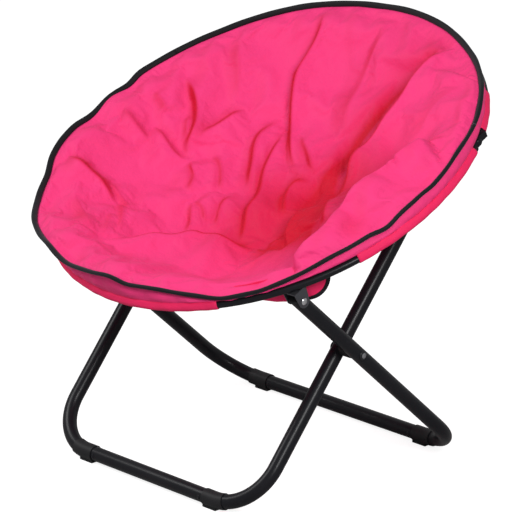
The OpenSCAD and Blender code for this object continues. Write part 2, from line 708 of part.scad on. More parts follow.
// tail half of the hoop hinge pin, in the rear tab
module hinge_tail(s) {
    color(silver) on_hoop() side(s)
        translate([hinge_x - face_gap / 2 - tab_t, hinge_set, 0]) {
            bar_x(0, tab_t, pin_r);
            mirror([1, 0, 0]) rivet_head(bracket_head_d / 2, 2.4);
        }
}
module hinge_tail_left() { hinge_tail(-1); }
module hinge_tail_right() { hinge_tail(1); }

inner_leg_left();
inner_leg_right();
inner_floor_bar();
inner_bar_rivets();
front_foot_left();
front_foot_right();
inner_plug_left();
inner_plug_right();
pivot_rivet_left();
pivot_rivet_right();
pivot_spacer_left();
pivot_spacer_right();
outer_leg_left();
outer_leg_right();
outer_floor_bar();
outer_bar_rivets();
rear_foot_left();
rear_foot_right();
outer_plug_left();
outer_plug_right();
front_hoop();
front_bracket_left();
front_bracket_right();
front_bracket_rivet_left();
front_bracket_rivet_right();
hinge_rivet_left();
hinge_rivet_right();
front_sleeve_middle();
front_sleeve_left();
front_sleeve_right();
seat_pad_front();
front_edge_binding();
front_flap_left();
front_flap_right();
flap_binding_left();
flap_binding_right();
rear_hoop();
rear_bracket_left();
rear_bracket_right();
rear_bracket_rivet_left();
rear_bracket_rivet_right();
hinge_tail_left();
hinge_tail_right();
rear_sleeve_middle();
rear_sleeve_left();
rear_sleeve_right();
seat_pad_rear();
rear_edge_binding();
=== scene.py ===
# %% [markdown]
# # A round padded folding chair
# The chair is a bowl of padded cloth in a round steel hoop. The hoop is hinged across the
# seat, and four brackets hang it from two crossed frames of black tube. The solid parts come
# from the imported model. This file dresses them: it gives each tube, foot, bracket and rivet
# its finish, and it builds the cloth again as cloth, with its folds, its bound edge and its
# sleeves round the hoop. Everything is in metres, in the frame that the model was packed in.

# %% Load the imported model
import math
import time

import bmesh
import bpy
import numpy as np
from mathutils import Matrix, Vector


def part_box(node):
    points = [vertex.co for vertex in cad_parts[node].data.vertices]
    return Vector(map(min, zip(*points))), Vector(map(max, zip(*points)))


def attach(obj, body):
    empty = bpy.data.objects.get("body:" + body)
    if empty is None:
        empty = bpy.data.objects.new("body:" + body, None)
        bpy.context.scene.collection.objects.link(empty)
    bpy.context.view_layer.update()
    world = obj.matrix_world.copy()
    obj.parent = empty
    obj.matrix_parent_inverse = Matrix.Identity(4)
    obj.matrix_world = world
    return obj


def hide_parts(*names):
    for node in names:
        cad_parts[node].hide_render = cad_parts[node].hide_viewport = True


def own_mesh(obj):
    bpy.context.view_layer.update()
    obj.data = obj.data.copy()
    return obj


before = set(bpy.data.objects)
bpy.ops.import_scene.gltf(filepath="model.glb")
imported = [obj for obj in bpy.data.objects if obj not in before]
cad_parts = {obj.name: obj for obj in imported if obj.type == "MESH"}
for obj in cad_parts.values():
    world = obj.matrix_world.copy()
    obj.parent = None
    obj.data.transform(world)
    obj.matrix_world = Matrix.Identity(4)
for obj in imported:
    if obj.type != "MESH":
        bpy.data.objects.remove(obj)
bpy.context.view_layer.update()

# %% [markdown]
# ## The hoop's own frame
# Nearly every soft piece is laid out from the hoop, which leans back by 26 degrees. So the
# shapes are written as x across the chair, s along the hoop's plane towards the back, and h
# above that plane, all in millimetres. One function turns them into places in the frame.

# %% A place in the hoop's frame
mm = 0.001
lean = math.radians(25.9956)
hoop_middle = np.array([0.0, 7.689, 515.095]) * mm
across = np.array([1.0, 0.0, 0.0])
rearward = np.array([0.0, math.cos(lean), math.sin(lean)])
upward = np.array([0.0, -math.sin(lean), math.cos(lean)])
hoop_r = 384.0
hinge_s = 157.0


def place(x, s, h):
    """Middle of the hoop, plus x across, s rearward and h upward, each in mm."""
    x, s, h = np.broadcast_arrays(np.asarray(x, float), s, h)
    return hoop_middle + mm * (x[..., None] * across + s[..., None] * rearward + h[..., None] * upward)


def polar(reach, angle):
    """x and s of a place at a distance from the hoop's middle, at an angle in degrees."""
    return reach * np.cos(np.radians(angle)), reach * np.sin(np.radians(angle))


def outward_at(angle):
    """Unit directions away from the hoop's middle, in its plane, at angles in degrees."""
    c, s = polar(1, angle)
    return c[:, None] * across + s[:, None] * rearward


def fade(distance, width, power=2):
    """e to the minus (distance / width) to a power: 1 where the distance is 0, and little beyond the width."""
    return np.exp(-((distance / width) ** power))


def bell(angle, middle, width):
    """A smooth hump of height 1 round an angle in degrees."""
    return fade((angle - middle + 900) % 360 - 180, width)


def unit(vectors):
    """Vectors of length 1 in the same directions."""
    return vectors / np.linalg.norm(vectors, axis=-1, keepdims=True)


def round_angles(count):
    """Angles in radians, evenly spaced once round."""
    return np.linspace(0, 2 * np.pi, count, endpoint=False)


print("hoop front at", place(0, -hoop_r, 0).round(4), "and its node starts at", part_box("front_hoop")[0])

# %% [markdown]
# ## Mesh helpers
# Each new surface is a grid of points that numpy works out in one go. A grid needs only its
# points and the rule that joins them, so the same few helpers serve the seat, the binding,
# the sleeves and the flaps.

# %% Grids, tubes and pieces
def grid_faces(rows, columns, start=0, wrap=False):
    """Quads of a rows by columns grid of points counted row by row. wrap joins the last column to the first."""
    r = np.arange(rows - 1)[:, None]
    c = np.arange(columns if wrap else columns - 1)[None, :]
    n = (c + 1) % columns
    quads = np.stack([r * columns + c, r * columns + n, (r + 1) * columns + n, (r + 1) * columns + c], -1)
    return quads.reshape(-1, 4) + start


def read(items, name, width=1, kind=np.float32):
    """One property of all of a mesh's items, as an array with a row for each."""
    values = np.zeros(len(items) * width, kind)
    items.foreach_get(name, values)
    return values.reshape(-1, width) if width > 1 else values


def add_object(name, data):
    """An object that shows some data, in the scene."""
    made = bpy.data.objects.new(name, data)
    bpy.context.collection.objects.link(made)
    return made


def new_piece(name, points, faces, material, body=None, uv=None, smooth=True):
    """A mesh object from an array of points and lists of faces, riding on a body of the model."""
    mesh = bpy.data.meshes.new(name)
    mesh.from_pydata(np.asarray(points).reshape(-1, 3).tolist(), [], [list(map(int, f)) for f in faces])
    if uv is not None:
        corners = read(mesh.loops, "vertex_index", kind=np.int32)
        mesh.uv_layers.new(name="cloth").data.foreach_set("uv", np.asarray(uv, np.float32)[corners].ravel())
    mesh.polygons.foreach_set("use_smooth", np.full(len(mesh.polygons), smooth))
    mesh.update()
    piece = add_object(name, mesh)
    if material:
        mesh.materials.append(material)
    if body:
        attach(piece, body)
    return piece


def along(points):
    """Distance from the first point to each point of a line, in the line's own unit."""
    steps = np.linalg.norm(np.diff(points, axis=0), axis=1)
    return np.concatenate([[0], np.cumsum(steps)])


def tube_rows(path, outward, profile):
    """A profile carried along a path: path + outward * profile u + (direction x outward) * profile v."""
    path, outward = np.asarray(path, float), np.asarray(outward, float)
    direction = unit(np.gradient(path, axis=0))
    outward = unit(outward - direction * (outward * direction).sum(1, keepdims=True))
    side = np.cross(direction, outward)
    u, v = profile[..., 0], profile[..., 1]
    if profile.ndim == 2:
        u, v = np.tile(u, (len(path), 1)), np.tile(v, (len(path), 1))
    return path[:, None, :] + u[..., None] * outward[:, None, :] + v[..., None] * side[:, None, :]


def outward_faces(piece):
    """Turn a closed piece's faces outward."""
    work = bmesh.new()
    work.from_mesh(piece.data)
    bmesh.ops.recalc_face_normals(work, faces=work.faces)
    work.to_mesh(piece.data)
    work.free()


print("helpers ready")

# %% [markdown]
# ## Camera
# A long lens far away keeps the chair's ellipses as flat as they are in the photograph. The
# camera stands to the right and in front, 18 degrees above the seat, and its frame is square.

# %% Camera
def looking(toward, at):
    """The matrix of a camera or lamp that stands at a place, looks away from toward and keeps upright."""
    toward = unit(np.asarray(toward, float))
    right = unit(np.cross([0, 0, 1.0], toward))
    turn = np.eye(4)
    turn[:3, 0], turn[:3, 1], turn[:3, 2], turn[:3, 3] = right, np.cross(toward, right), toward, at
    return Matrix(turn.tolist())


camera_data = bpy.data.cameras.new("camera")
camera = add_object("camera", camera_data)
camera_data.sensor_width, camera_data.lens, camera_data.clip_end = 36.0, 243.75, 50.0
camera.matrix_world = looking(toward=[0.6768, -0.6684, 0.3086], at=[3.9786, -3.94465, 2.1580])
bpy.context.scene.camera = camera
bpy.context.scene.view_settings.view_transform = "Standard"
print("camera at", camera.matrix_world.translation)

# %% [markdown]
# ## Shared effects
# Cloth weave, fine grain and handling marks turn up in several finishes, so each is a node
# group that is built once. A group gives out only a height, a mask or a tone. The shader
# itself stays in each material, where its plain numbers sit on its own sockets.

# %% Node helpers
def add_node(tree, kind, **values):
    """A node of a kind. A value goes to the input of its name, with _ for a space, or else to an option."""
    node = tree.nodes.new(kind)
    for key, value in values.items():
        label = key.replace("_", " ")
        if label in node.inputs:
            node.inputs[label].default_value = value
        else:
            setattr(node, key, value)
    return node


def math_node(tree, operation, a, b=None, clamp=False):
    """One Math node. a and b are sockets or numbers."""
    node = add_node(tree, "ShaderNodeMath", operation=operation, use_clamp=clamp)
    for index, value in enumerate([a, b]):
        if isinstance(value, (int, float)):
            node.inputs[index].default_value = value
        elif value is not None:
            tree.links.new(value, node.inputs[index])
    return node.outputs[0]


def times(tree, a, b):
    """The product of two sockets or numbers."""
    return math_node(tree, "MULTIPLY", a, b)


def weighted(tree, a, share_a, b, share_b):
    """a times its share plus b times its share."""
    return math_node(tree, "ADD", times(tree, a, share_a), times(tree, b, share_b))


def group(name, number, default, outputs):
    """A node group that reads a vector and one number, and gives out the values named in outputs."""
    tree = bpy.data.node_groups.new(name, "ShaderNodeTree")
    tree.interface.new_socket("Vector", in_out="INPUT", socket_type="NodeSocketVector")
    tree.interface.new_socket(number, in_out="INPUT", socket_type="NodeSocketFloat").default_value = default
    for label in outputs:
        tree.interface.new_socket(label, in_out="OUTPUT", socket_type="NodeSocketFloat")
    return tree, tree.nodes.new("NodeGroupInput"), tree.nodes.new("NodeGroupOutput")


def noise(tree, vector, scale, detail=2.0, roughness=0.5):
    """A noise texture's value at a vector socket."""
    node = add_node(tree, "ShaderNodeTexNoise", Scale=scale, Detail=detail, Roughness=roughness)
    tree.links.new(vector, node.inputs["Vector"])
    return node.outputs["Fac"]

# %% Weave: two sets of threads that pass over and under each other
weave, g_in, g_out = group("thread_weave", "Threads per metre", 1500.0, ["Height", "Tone"])
vector, threads = g_in.outputs["Vector"], g_in.outputs["Threads per metre"]
split = weave.nodes.new("ShaderNodeSeparateXYZ")
weave.links.new(vector, split.inputs[0])
warp, weft = [math_node(weave, "SINE", times(weave, times(weave, split.outputs[k], threads), math.pi)) for k in (0, 1)]
height = math_node(weave, "ADD", times(weave, times(weave, warp, weft), 0.5), 0.5)
slub, broad = noise(weave, vector, 900.0), noise(weave, vector, 9.0, 3.0)
weave.links.new(weighted(weave, height, 0.8, slub, 0.2), g_out.inputs["Height"])
weave.links.new(weighted(weave, broad, 0.7, slub, 0.3), g_out.inputs["Tone"])

# %% Handling: broad rubbed patches and fine grain on hard finishes
handling, g_in, g_out = group("handling_marks", "Grain", 1400.0, ["Grain", "Patches", "Scuffs"])
vector = g_in.outputs["Vector"]
grain_node = add_node(handling, "ShaderNodeTexNoise", Detail=2.0, Roughness=0.6)
handling.links.new(vector, grain_node.inputs["Vector"])
handling.links.new(g_in.outputs["Grain"], grain_node.inputs["Scale"])
handling.links.new(grain_node.outputs["Fac"], g_out.inputs["Grain"])
handling.links.new(noise(handling, vector, 14.0, 4.0), g_out.inputs["Patches"])
spots = math_node(handling, "SUBTRACT", noise(handling, vector, 90.0, 5.0, 0.7), 0.62, clamp=True)
handling.links.new(math_node(handling, "MULTIPLY", spots, 6.0, clamp=True), g_out.inputs["Scuffs"])
print("groups:", [g.name for g in bpy.data.node_groups])

# %% [markdown]
# ## Finishes
# The seat is a plain-woven polyester cover over wadding: matt, strongly coloured, with a soft
# sheen where it turns away. The edge is bound with black woven tape. The tubes wear a satin
# black coat, the feet and plugs are moulded plastic, the brackets are dark zinc-coated steel.

# %% Materials
def finish(name, color, roughness, **sockets):
    """A material with a Principled shader and its plain values set on the shader's sockets."""
    material = bpy.data.materials.new(name)
    material.use_nodes = True
    tree = material.node_tree
    shader = tree.nodes["Principled BSDF"]
    for label, value in {"Base Color": (*color, 1), "Roughness": roughness, **sockets}.items():
        shader.inputs[label.replace("_", " ")].default_value = value
    return material, tree, shader


def use_group(tree, name, vector, **values):
    """One of the shared groups, reading a vector socket."""
    node = add_node(tree, "ShaderNodeGroup", node_tree=bpy.data.node_groups[name], **values)
    tree.links.new(vector, node.inputs["Vector"])
    return node


def own_place(tree):
    """The piece's own coordinates as a vector socket."""
    return tree.nodes.new("ShaderNodeTexCoord").outputs["Object"]


def tone_ramp(tree, value, low, high):
    """A colour that goes from low to high as a value socket goes from 0 to 1."""
    ramp = tree.nodes.new("ShaderNodeValToRGB")
    ramp.color_ramp.elements[0].color = (*low, 1)
    ramp.color_ramp.elements[1].color = (*high, 1)
    tree.links.new(value, ramp.inputs["Fac"])
    return ramp.outputs["Color"]


def mixed(tree, factor, color, over):
    """A colour socket that turns into a plain colour as a factor socket goes from 0 to 1."""
    mix = add_node(tree, "ShaderNodeMix", data_type="RGBA")
    tree.links.new(factor, mix.inputs[0])
    tree.links.new(color, mix.inputs[6])
    mix.inputs[7].default_value = (*over, 1)
    return mix.outputs[2]


def spread(tree, value, low, high, **ends):
    """A value socket moved from 0..1, or from other ends, to low..high."""
    node = add_node(tree, "ShaderNodeMapRange", To_Min=low, To_Max=high, **ends)
    tree.links.new(value, node.inputs["Value"])
    return node.outputs["Result"]


def bump(tree, shader, heights):
    """Bump nodes in a chain, from (height socket, strength, distance) items, into the shader's Normal."""
    last = None
    for height, strength, distance in heights:
        node = add_node(tree, "ShaderNodeBump", Strength=strength, Distance=distance)
        tree.links.new(height, node.inputs["Height"])
        if last:
            tree.links.new(last, node.inputs["Normal"])
        last = node.outputs["Normal"]
    tree.links.new(last, shader.inputs["Normal"])


def cloth(name, low, high, threads, crumple, sheen, sheen_tint, deep=None):
    """Woven cloth: thread weave, fine crumples and slightly uneven dyeing. Where the piece carries a painted shade,
    the deep colour mixes in and stands in for shade.
    """
    material, tree, shader = finish(name, high, 0.62, Sheen_Weight=sheen, Sheen_Roughness=0.45,
                                    Sheen_Tint=(*sheen_tint, 1), Specular_IOR_Level=0.15)
    uv = add_node(tree, "ShaderNodeUVMap", uv_map="cloth").outputs["UV"]
    weave_node = use_group(tree, "thread_weave", uv, Threads_per_metre=threads)
    color = tone_ramp(tree, weave_node.outputs["Tone"], low, high)
    # deep is the colour of painted shade, mixed in as far as the piece's painted shade attribute says
    if deep:
        painted_shade_node = add_node(tree, "ShaderNodeAttribute", attribute_name="painted_fold_shade")
        color = mixed(tree, painted_shade_node.outputs["Fac"], color, deep)
    tree.links.new(color, shader.inputs["Base Color"])
    tree.links.new(spread(tree, weave_node.outputs["Tone"], 0.54, 0.70), shader.inputs["Roughness"])
    place_socket = own_place(tree)
    bump(tree, shader, [(noise(tree, place_socket, 26.0, 4.0, 0.55), 0.35, crumple),
                        (noise(tree, place_socket, 85.0, 3.0, 0.5), 0.25, crumple * 0.3),
                        (weave_node.outputs["Height"], 0.3, 0.0002)])
    return material


# the seat cloth's last colour is painted shade for its folds and hollows
seat_pink = cloth("seat_cloth", (0.84, 0.038, 0.186), (0.88, 0.047, 0.215), 1500.0, 0.012, 0.03, (1.0, 0.55, 0.80),
                  deep=(0.60, 0.002, 0.026))
# the sleeves and flaps are the seat's cloth; this deeper, redder copy of it is painted shade for their place under the
# edge
under_pink_painted_shade = cloth("under_cloth_painted_shade", (0.82, 0.018, 0.105), (0.88, 0.026, 0.135), 1500.0, 0.008, 0.04, (1.0, 0.55, 0.80))
edge_black = cloth("binding_tape", (0.004, 0.004, 0.005), (0.011, 0.011, 0.013), 900.0, 0.004, 0.12, (0.7, 0.75, 0.85))


def hard(name, low, high, rough_low, rough_high, grain, grain_scale, coat=0.0, metallic=0.0, scuff=0.0, gloss=0.5):
    """A hard finish: grain in the bump, broad patches in tone and roughness, small scuffs on top."""
    material, tree, shader = finish(name, high, rough_high, Metallic=metallic, Coat_Weight=coat, Coat_Roughness=0.25,
                                    Specular_IOR_Level=gloss)
    marks = use_group(tree, "handling_marks", own_place(tree), Grain=grain_scale)
    color = tone_ramp(tree, marks.outputs["Patches"], low, high)
    if scuff:
        lighter = [min(1, c * 2.2 + 0.01) for c in high]
        color = mixed(tree, times(tree, marks.outputs["Scuffs"], scuff), color, lighter)
    tree.links.new(color, shader.inputs["Base Color"])
    tree.links.new(spread(tree, marks.outputs["Patches"], rough_low, rough_high), shader.inputs["Roughness"])
    bump(tree, shader, [(marks.outputs["Grain"], 0.2, grain)])
    return material


tube_black = hard("black_tube", (0.006, 0.006, 0.008), (0.012, 0.012, 0.015), 0.26, 0.36, 0.00008, 1800.0,
                  coat=0.03, scuff=0.3, gloss=0.16)
hoop_black = hard("black_hoop", (0.006, 0.006, 0.008), (0.011, 0.011, 0.014), 0.28, 0.40, 0.00008, 1800.0,
                  coat=0.03, scuff=0.35, gloss=0.16)
plastic_black = hard("black_plastic", (0.010, 0.010, 0.011), (0.018, 0.018, 0.020), 0.42, 0.58, 0.00015, 900.0,
                     scuff=0.5, gloss=0.2)
bracket_grey = hard("bracket_steel", (0.065, 0.065, 0.075), (0.12, 0.12, 0.135), 0.34, 0.50, 0.00010, 700.0,
                    metallic=0.8, scuff=1.0)
rivet_silver = hard("rivets", (0.52, 0.52, 0.54), (0.68, 0.68, 0.70), 0.20, 0.34, 0.00006, 1200.0,
                    metallic=1.0, scuff=0.4)


def worn_rivet(name, axis_y, axis_z, bare):
    """A black painted rivet along X. Within a radius of its axis the paint is off and the metal shows."""
    material = hard(name, (0.008, 0.008, 0.010), (0.014, 0.014, 0.016), 0.26, 0.38, 0.00008, 1200.0, gloss=0.3)
    tree = material.node_tree
    shader = tree.nodes["Principled BSDF"]
    xyz = tree.nodes.new("ShaderNodeSeparateXYZ")
    tree.links.new(own_place(tree), xyz.inputs[0])
    dy = math_node(tree, "SUBTRACT", xyz.outputs["Y"], axis_y)
    dz = math_node(tree, "SUBTRACT", xyz.outputs["Z"], axis_z)
    away = math_node(tree, "POWER", weighted(tree, dy, dy, dz, dz), 0.5)
    metal = spread(tree, away, 1.0, 0.0, From_Min=bare, From_Max=bare + 0.0008)
    painted = shader.inputs["Base Color"].links[0].from_socket
    tree.links.new(mixed(tree, metal, painted, (0.42, 0.42, 0.44)), shader.inputs["Base Color"])
    tree.links.new(metal, shader.inputs["Metallic"])
    return material


pivot_worn = worn_rivet("pivot_rivets", axis_y=-0.06325, axis_z=0.2523, bare=0.0040)
print("materials:", [m.name for m in bpy.data.materials])

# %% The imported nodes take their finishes
hard_finishes = [  # the first word that a node's name holds gives its finish
    ("pivot_rivet", pivot_worn), ("bar_rivets", tube_black), ("hinge_", hoop_black), ("rivet", rivet_silver),
    ("foot", plastic_black), ("plug", plastic_black), ("spacer", plastic_black), ("bracket", bracket_grey),
    ("hoop", hoop_black), ("leg", tube_black), ("bar", tube_black),
]
dressed = []
for name in sorted(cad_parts):
    node_object = bpy.data.objects.get(name)
    chosen = [material for word, material in hard_finishes if word in name]
    if chosen and node_object is not None and node_object.type == "MESH":
        node_object.data.materials.clear()
        node_object.data.materials.append(chosen[0])
        dressed.append(name)
print("dressed", len(dressed), "of", len(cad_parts), "nodes")
print("still plain:", sorted(set(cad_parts) - set(dressed)))

# %% [markdown]
# ## The padded seat
# The real seat is one big round cushion that the hoop holds by its edge: a cover of woven
# cloth, thin wadding inside, and its own weight that pulls it into a bowl. It could be a
# sculpted mesh, but its shape is easy to say in a formula. A square grid is first bent into a
# disc, so that no point crowds in the middle. Each point then gets the bowl's height, a soft
# roll inside the edge, and the creases, which run where the cover is slack. After that the
# cloth is blown up a little by Blender's cloth simulation, held along its creases and edge.

# %% The line of the bound edge
edge_r = 386  # its usual distance from the hoop's middle
edge_line = [  # angle round the hoop, height above it and distance from its middle
    (0, 31, 386), (4, 33, 386), (12, 37, 386), (26, 35, 388), (36, 46, 391), (55, 40, 383), (75, 43, 377),
    (97, 40, 374), (120, 39, 376), (142, 30, 383), (156, 26, 390), (168, 24, 395), (171, 13, 396), (174, 20, 397),
    (178, 25, 398), (184, 15, 399), (187, 18, 400), (191, 27, 400), (198, 30, 401), (204, 27, 402), (208, 16, 402),
    (219, 20, 403), (226, 27, 405), (230, 31, 405), (238, 33, 399), (244, 43, 396), (249, 33, 393), (253, 33, 391),
    (262, 43, 388), (270, 51, 386), (273, 50, 386), (275, 37, 384), (281, 38, 383), (286, 35, 382), (296, 21, 384),
    (302, 14, 388), (311, 13, 387), (320, 17, 382), (331, 27, 382), (342, 28, 383), (344, 22, 383), (346, 22, 383),
    (350, 32, 384), (359, 35, 385),
]
degrees = np.arange(0, 360, 1.0)
blur = np.exp(-((degrees + 180) % 360 - 180) ** 2 / (2 * 1.5**2))
blur /= blur.sum()
edge_angles, edge_heights, edge_reaches = np.array(edge_line, float).T


def round_the_hoop(values):
    """Values at the listed angles, joined by straight runs and softened by a blur of 1.5 degrees."""
    table = np.interp(degrees, edge_angles, values, period=360)
    return np.real(np.fft.ifft(np.fft.fft(table) * np.fft.fft(blur)))


height_table, reach_table = round_the_hoop(edge_heights), round_the_hoop(edge_reaches)


def edge_height(angle):
    """Height of the bound edge above the hoop's plane at an angle in degrees."""
    return np.interp(angle, degrees, height_table, period=360)


def edge_reach(angle):
    """Distance of the bound edge from the hoop's middle at an angle in degrees."""
    return np.interp(angle, degrees, reach_table, period=360)


print("edge height", height_table.min().round(1), "to", height_table.max().round(1), "mm")

# %% The disc that the seat is laid out on
cells = 341
bowl_s = -110.0


def disc_grid(count):
    """A square grid bent into a disc: the square's rings become circles. Gives distance share and angle."""
    a, b = np.meshgrid(np.linspace(-1, 1, count), np.linspace(-1, 1, count), indexing="ij")
    wide = np.abs(a) >= np.abs(b)
    big, small = np.where(wide, a, b), np.where(wide, b, a)
    share = small / np.where(big == 0, 1, big) * np.pi / 4
    turn_a = np.where(wide, share, np.pi / 2 - share)
    x, s = big * np.cos(turn_a), big * np.sin(turn_a)
    return np.hypot(x, s), np.degrees(np.arctan2(s, x)) % 360


def edge_ring(rows, columns):
    """Indices of the outer points of a rows by columns grid, in order round it."""
    index = np.arange(rows * columns).reshape(rows, columns)
    return np.concatenate([index[:-1, 0], index[-1, :-1], index[:0:-1, -1], index[0, :0:-1]])


share, angle = disc_grid(cells)
ring = edge_ring(cells, cells)
print("grid", share.shape, "ring", len(ring))

# %% [markdown]
# ## Creases
# Each crease is a line of a few points, read from the photograph and set back on the bowl, in millimetres across and
# rearward. Its line is a sharp crest, because one edge of the slack cloth lies over the other: on the far side the
# cloth drops at once into a soft valley, on the near side it sinks slowly.

# %% Creases
# the valley beside the fold that hides part of the back
groove_line = [(135, 270), (108, 225), (100, 180), (88, 130), (90, 80), (98, 20), (125, -30), (160, -75)]
# points of the crest, depth and width of the far side, height of the crest, spread of the near side
creases = [
    # left wall
    ([(-352, 2), (-300, -14), (-262, -27)], 5, 8, 7, 26),
    ([(-292, 10), (-255, -7), (-217, -18), (-190, -19)], 5, 8, 8, 26),
    ([(-301, 117), (-265, 98), (-243, 78), (-219, 38), (-212, 12), (-194, -5)], 8, 10, 16, 40),
    ([(-248, 60), (-240, 38), (-218, 14)], 4, 8, 5, 18),
    ([(-168, 119), (-184, 85), (-195, 50), (-205, 12)], 7, 12, 13, 40),
    ([(-327, 58), (-302, 51), (-285, 39)], 5, 8, 6, 20),
    ([(-255, 223), (-215, 169), (-190, 120)], 3, 14, 5, 36),
    # bottom of the left wall
    ([(-189, -17), (-162, -40), (-135, -78)], 6, 8, 8, 26),
    ([(-163, 12), (-137, 4), (-107, -27), (-90, -52)], 5, 8, 8, 26),
    ([(-102, 136), (-105, 97), (-95, 57), (-67, 9), (-43, -30)], 6, 11, 13, 40),
    ([(-90, 130), (-69, 88), (-50, 28), (-18, -33), (-10, -72), (28, -134)], 7, 9, 13, 34),
    # the deep fold that runs down the back
    ([(-126, 330), (-117, 286), (-116, 246), (-102, 196), (-67, 129), (-20, 68), (24, 33)], 18, 8, 14, 50),
    # the fold that hides part of the back
    ([(178, 318), (160, 269), (162, 217), (162, 166), (149, 102), (150, 53), (165, -6)], 26, 13, 30, 80),
    (groove_line, 12, 13, 0, 44),
    # the rim's left front, where the cover is drawn together
    ([(-345, -142), (-293, -153), (-264, -157), (-238, -166), (-216, -175)], 10, 9, 15, 32),
    ([(-259, -145), (-231, -151), (-206, -160), (-180, -178)], 5, 8, 7, 20),
    ([(-221, -162), (-197, -180), (-137, -243)], 4, 8, 7, 20),
    ([(-275, -209), (-227, -240), (-185, -262), (-148, -279)], 5, 9, 7, 28),
    ([(-204, -202), (-170, -237), (-148, -272)], 4, 8, 6, 18),
    ([(-189, -289), (-165, -283), (-148, -279)], 3, 7, 4, 16),
    # across the front of the bottom
    ([(-138, -272), (-101, -223), (-66, -196), (-40, -167), (20, -152), (85, -142)], 9, 10, 18, 60),
    ([(-122, -93), (-98, -122), (-73, -154)], 4, 7, 6, 20),
    ([(-120, -89), (-91, -97), (-64, -118)], 4, 7, 6, 20),
    ([(-71, -48), (-66, -81), (-46, -116)], 4, 7, 6, 20),
    # the middle and the right
    ([(-40, 109), (8, 82), (57, 37)], 6, 8, 9, 28),
    ([(60, 26), (31, 14), (28, -8), (59, -51)], 6, 8, 9, 26),
    ([(102, -20), (104, -49), (118, -96), (150, -140)], 10, 8, 13, 32),
    ([(179, -26), (205, -60), (225, -100)], 6, 8, 9, 22),
    ([(62, -135), (120, -150), (181, -166)], 5, 7, 7, 22),
    ([(77, -110), (110, -112), (140, -120)], 4, 7, 6, 20),
    # near the back edge
    ([(20, 345), (14, 250), (34, 180), (60, 120)], 3, 16, 5, 44),
    ([(262, 236), (246, 170), (236, 110)], 3, 14, 5, 40),
    ([(330, 120), (300, 84), (282, 52)], 5, 9, 8, 24),
]


def soft_line(points, steps=6):
    """A smooth line through points: Catmull-Rom's cubic between each pair, with the ends doubled."""
    p = np.array([points[0], *points, points[-1]], float)
    t = np.linspace(0, 1, steps, endpoint=False)[:, None]
    runs = [0.5 * (2 * p[i + 1] + (p[i + 2] - p[i]) * t + (2 * p[i] - 5 * p[i + 1] + 4 * p[i + 2] - p[i + 3]) * t**2
                   + (3 * p[i + 1] - p[i] - 3 * p[i + 2] + p[i + 3]) * t**3) for i in range(len(p) - 3)]
    return np.concatenate(runs + [p[-1:]])


def to_line(x, s, points, within=1e4):
    """Distance to a soft line, signed (left of it is positive), and the share of the line where it is nearest.

    Points that lie further than "within" from the line's box are left out and get a distance of 1 km."""
    line = soft_line(points)
    inside = (np.abs(x - (line[:, 0].min() + line[:, 0].max()) / 2) < np.ptp(line[:, 0]) / 2 + within) \
        & (np.abs(s - (line[:, 1].min() + line[:, 1].max()) / 2) < np.ptp(line[:, 1]) / 2 + within)
    all_best, all_where = np.full(x.shape, 1e6), np.zeros(x.shape)
    x, s = x[inside], s[inside]
    best, where = np.full(x.shape, 1e6), np.zeros(x.shape)
    run = along(line)
    for (ax, as_), (bx, bs), start, length in zip(line[:-1], line[1:], run[:-1], np.diff(run)):
        ex, es = (bx - ax) / length, (bs - as_) / length
        t = np.clip((x - ax) * ex + (s - as_) * es, 0, length)
        d = np.hypot(x - ax - ex * t, s - as_ - es * t)
        side = np.where((s - as_) * ex - (x - ax) * es >= 0, 1.0, -1.0)
        nearer = d < np.abs(best)
        best, where = np.where(nearer, d * side, best), np.where(nearer, (start + t) / run[-1], where)
    all_best[inside], all_where[inside] = best, where
    return all_best, all_where


def smooth_step(t):
    """0 below 0, 1 above 1, and 3 t t - 2 t t t between."""
    t = np.clip(t, 0, 1)
    return t * t * (3 - 2 * t)


def waves(x, s, seed, size):
    """Slow uneven waves of height about 1: a sum of sines in fixed directions, each longer than size."""
    turn_a = seed + np.array([0.3, 1.7, 2.9, 4.4, 5.6])
    total = 0
    for k, a in enumerate(turn_a):
        reach = size * (1 + 0.35 * k)
        total = total + np.sin((x * np.cos(a) + s * np.sin(a)) * 2 * np.pi / reach + 7 * a) / (1 + 0.3 * k)
    return total / 2.2


def crease_field(x, s):
    """Height that the creases add, how much shade they paint on the cloth beside their crests, and how firmly it is
    held there.

    From the crest line the near side sinks as height times e to the minus (distance / spread). The far side
    drops at once: (height + depth) times e to the minus (distance / width) to the power 1.3, less depth times e
    to the minus (distance / (0.6 spread)). Near means toward the near right, where the cloth was drawn over
    from. Where creases meet, the largest counts most: their heights add up as cubes."""
    wx, ws = x + 3 * waves(x, s, 0.4, 90), s + 3 * waves(x, s, 2.1, 90)
    up, down, painted_crease_dark, held = 0, 0, 0, 0
    for points, depth, width, height, spread in creases:
        d, p = to_line(wx, ws, points, 4 * spread)
        run_x, run_s = np.subtract(points[-1], points[0])
        d = d * (1 if 0.9 * -run_s - 0.3 * run_x > 0 else -1)
        ends = smooth_step(p / 0.3 + 0.05) * smooth_step((1 - p) / 0.3)
        reach = np.abs(d)
        near = height * fade(reach, spread, 1)
        far = (height + depth) * fade(reach, width, 1.3) - depth * fade(reach, 0.6 * spread, 1)
        add = ends * np.where(d > 0, near, far)
        up, down = up + np.maximum(add, 0) ** 3, down + np.maximum(-add, 0) ** 3
        # painted shade beside each crest: narrow on the near side, wider on the far side, more for taller creases
        shade = np.where(d > 0, fade(reach, 2.5), fade(reach, 1.8 * width))
        painted_crease_dark = np.maximum(painted_crease_dark, ends * shade * min(1.7, (height + depth) / 20))
        held = np.maximum(held, ends * fade(d, 9.0))
    return up ** (1 / 3) - down ** (1 / 3), painted_crease_dark, held


print(len(creases), "creases")

# %% The seat's upper face
# a nearly straight crest along the near right, and how far it stands up along its length
near_crest = [(318, 92), (304, 57), (297, 11), (290, -37), (284, -80), (284, -112), (288, -150), (280, -190),
              (262, -228)]
crest_heights = [20, 34, 42, 42, 41, 39, 34, 28, 14]
bowl_drop = 76


